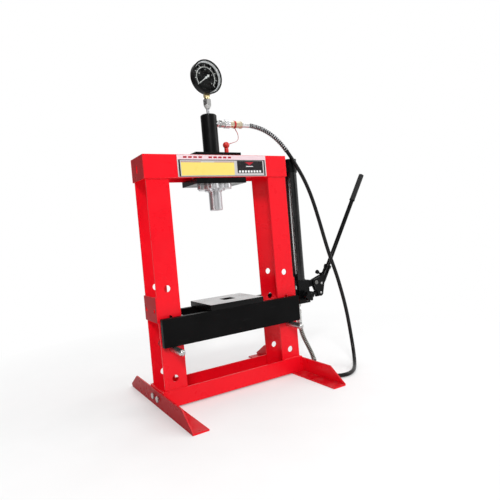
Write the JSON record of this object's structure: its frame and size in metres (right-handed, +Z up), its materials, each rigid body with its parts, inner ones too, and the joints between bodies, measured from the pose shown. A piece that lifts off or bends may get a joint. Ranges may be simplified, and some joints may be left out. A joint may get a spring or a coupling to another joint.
{
  "type": "hydraulic shop press",
  "caption": "Bench hydraulic shop press: red H-frame on angle feet, hand pump and hose driving a ram with a pressure gauge, and a height-adjustable bed resting on two pull-out pins.",
  "frame": {"origin": "on the floor, directly below the axis of the ram", "axes": "+Z up along the ram, +X to the right towards the pump, -Y the front with the gauge face and name plate"},
  "size_m": [0.9332, 0.516, 1.058],
  "materials": {
    "frame_paint": "gloss red enamel",
    "foot_paint": "gloss red enamel",
    "black_paint": "semi-gloss black",
    "bed_black": "satin black",
    "zinc": "bright zinc plate",
    "chrome": "polished",
    "brass": "machined",
    "steel": "ground steel",
    "label": "printed film",
    "red_plastic": "soft moulded",
    "hose_rubber": "smooth cover",
    "seal": "smooth",
    "dial": "printed face",
    "needle": "white",
    "glass": "clear",
    "grip": "moulded grip",
    "gauge_white": "bright enamel",
    "gauge_black": "black enamel",
    "guard": "wound wire"
  },
  "bodies": {
    "frame": {"base_channel": "frame_paint", "left_post": "frame_paint", "right_post": "frame_paint", "left_foot": "foot_paint", "right_foot": "foot_paint", "foot_bolts": "zinc", "head_front": "frame_paint", "head_rear": "frame_paint", "head_end_plates": "foot_paint", "side_plates": "foot_paint", "name_plate": "label", "ram_top_plate": "black_paint", "ram_bottom_plate": "black_paint", "plate_screws": "zinc", "ram_cylinder": "black_paint", "gland_sleeve": "chrome", "rod_wiper": "seal", "ring_nut": "chrome", "return_spring": "zinc", "gauge_stem": "chrome", "gauge_adapter": "zinc", "gauge_fitting": "brass", "gauge_case": "gauge_black", "gauge_bezel": "gauge_black", "gauge_ring": "gauge_white", "gauge_dial": "dial", "gauge_glass": "glass", "port_nipple": "chrome", "coupler_socket": "zinc", "coupler_body": "brass", "dust_strap": "red_plastic", "dust_cap": "red_plastic", "ram_ferrule": "chrome", "ram_guard": "guard", "hose": "hose_rubber", "pump_guard": "guard", "pump_ferrule": "zinc", "reservoir": "black_paint", "pump_cap": "black_paint", "pump_head": "black_paint", "pivot_pin": "zinc", "pump_bolts": "zinc", "pump_outlet": "zinc"},
    "ram_rod": {"piston_rod": "chrome", "piston_seal": "seal"},
    "bed": {"bed_front": "bed_black", "bed_rear": "bed_black", "bed_spacers": "zinc"},
    "arbor": {"arbor_plate": "steel"},
    "pin_left": {"left_pin": "zinc"},
    "pin_right": {"right_pin": "zinc"},
    "needle": {"gauge_needle": "needle"},
    "collar": {"coupler_collar": "chrome"},
    "handle": {"handle_lever": "black_paint", "lever_pins": "zinc"},
    "bar": {"handle_bar": "black_paint", "handle_grip": "grip"},
    "clamp": {"thumb_screw": "black_paint"},
    "plunger": {"pump_plunger": "black_paint"},
    "valve": {"release_knob": "black_paint"}
  },
  "joints": [
    {"name": "ram_slide", "type": "slide", "parent": "frame", "child": "ram_rod", "axis": [0, 0, -1], "range_m": [-0.048, 0.08], "deforming": ["return_spring"]},
    {"name": "bed_lift", "type": "slide", "parent": "frame", "child": "bed", "axis": [0, 0, 1], "range_m": [0, 0.176]},
    {"name": "arbor_slide", "type": "slide", "parent": "bed", "child": "arbor", "axis": [1, 0, 0], "range_m": [-0.06, 0.05]},
    {"name": "left_pin_pull", "type": "slide", "parent": "frame", "child": "pin_left", "axis": [0, -1, 0], "range_m": [0, 0.2]},
    {"name": "right_pin_pull", "type": "slide", "parent": "frame", "child": "pin_right", "axis": [0, -1, 0], "range_m": [0, 0.2]},
    {"name": "needle_turn", "type": "hinge", "parent": "frame", "child": "needle", "pos_m": [0, 0, 1.004], "axis": [-0.1045, 0.9945, 0], "range_deg": [0, 256], "stiffness_Nm_per_rad": 0.005},
    {"name": "collar_turn", "type": "hinge", "parent": "frame", "child": "collar", "pos_m": [0.065, 0, 0.86], "axis": [1, 0, 0], "continuous": true},
    {"name": "handle_swing", "type": "hinge", "parent": "frame", "child": "handle", "pos_m": [0.38, 0, 0.294], "axis": [0, 1, 0], "range_deg": [-12, 50]},
    {"name": "bar_pull", "type": "slide", "parent": "handle", "child": "bar", "axis": [0.5255, 0, 0.8508], "range_m": [0, 0.05]},
    {"name": "clamp_turn", "type": "hinge", "parent": "handle", "child": "clamp", "pos_m": [0.39788, 0, 0.32951], "axis": [-0.8508, 0, 0.5255], "continuous": true},
    {"name": "plunger_slide", "type": "slide", "parent": "frame", "child": "plunger", "axis": [1, 0, 0], "range_m": [-0.0365, 0.009]},
    {"name": "release_turn", "type": "hinge", "parent": "frame", "child": "valve", "pos_m": [0.315, -0.046, 0.255], "axis": [0, -1, 0], "range_deg": [0, 180]}
  ],
  "couplings": [
    {"joint": "plunger_slide", "follows": "handle_swing", "m_per_rad": -0.0415}
  ]
}
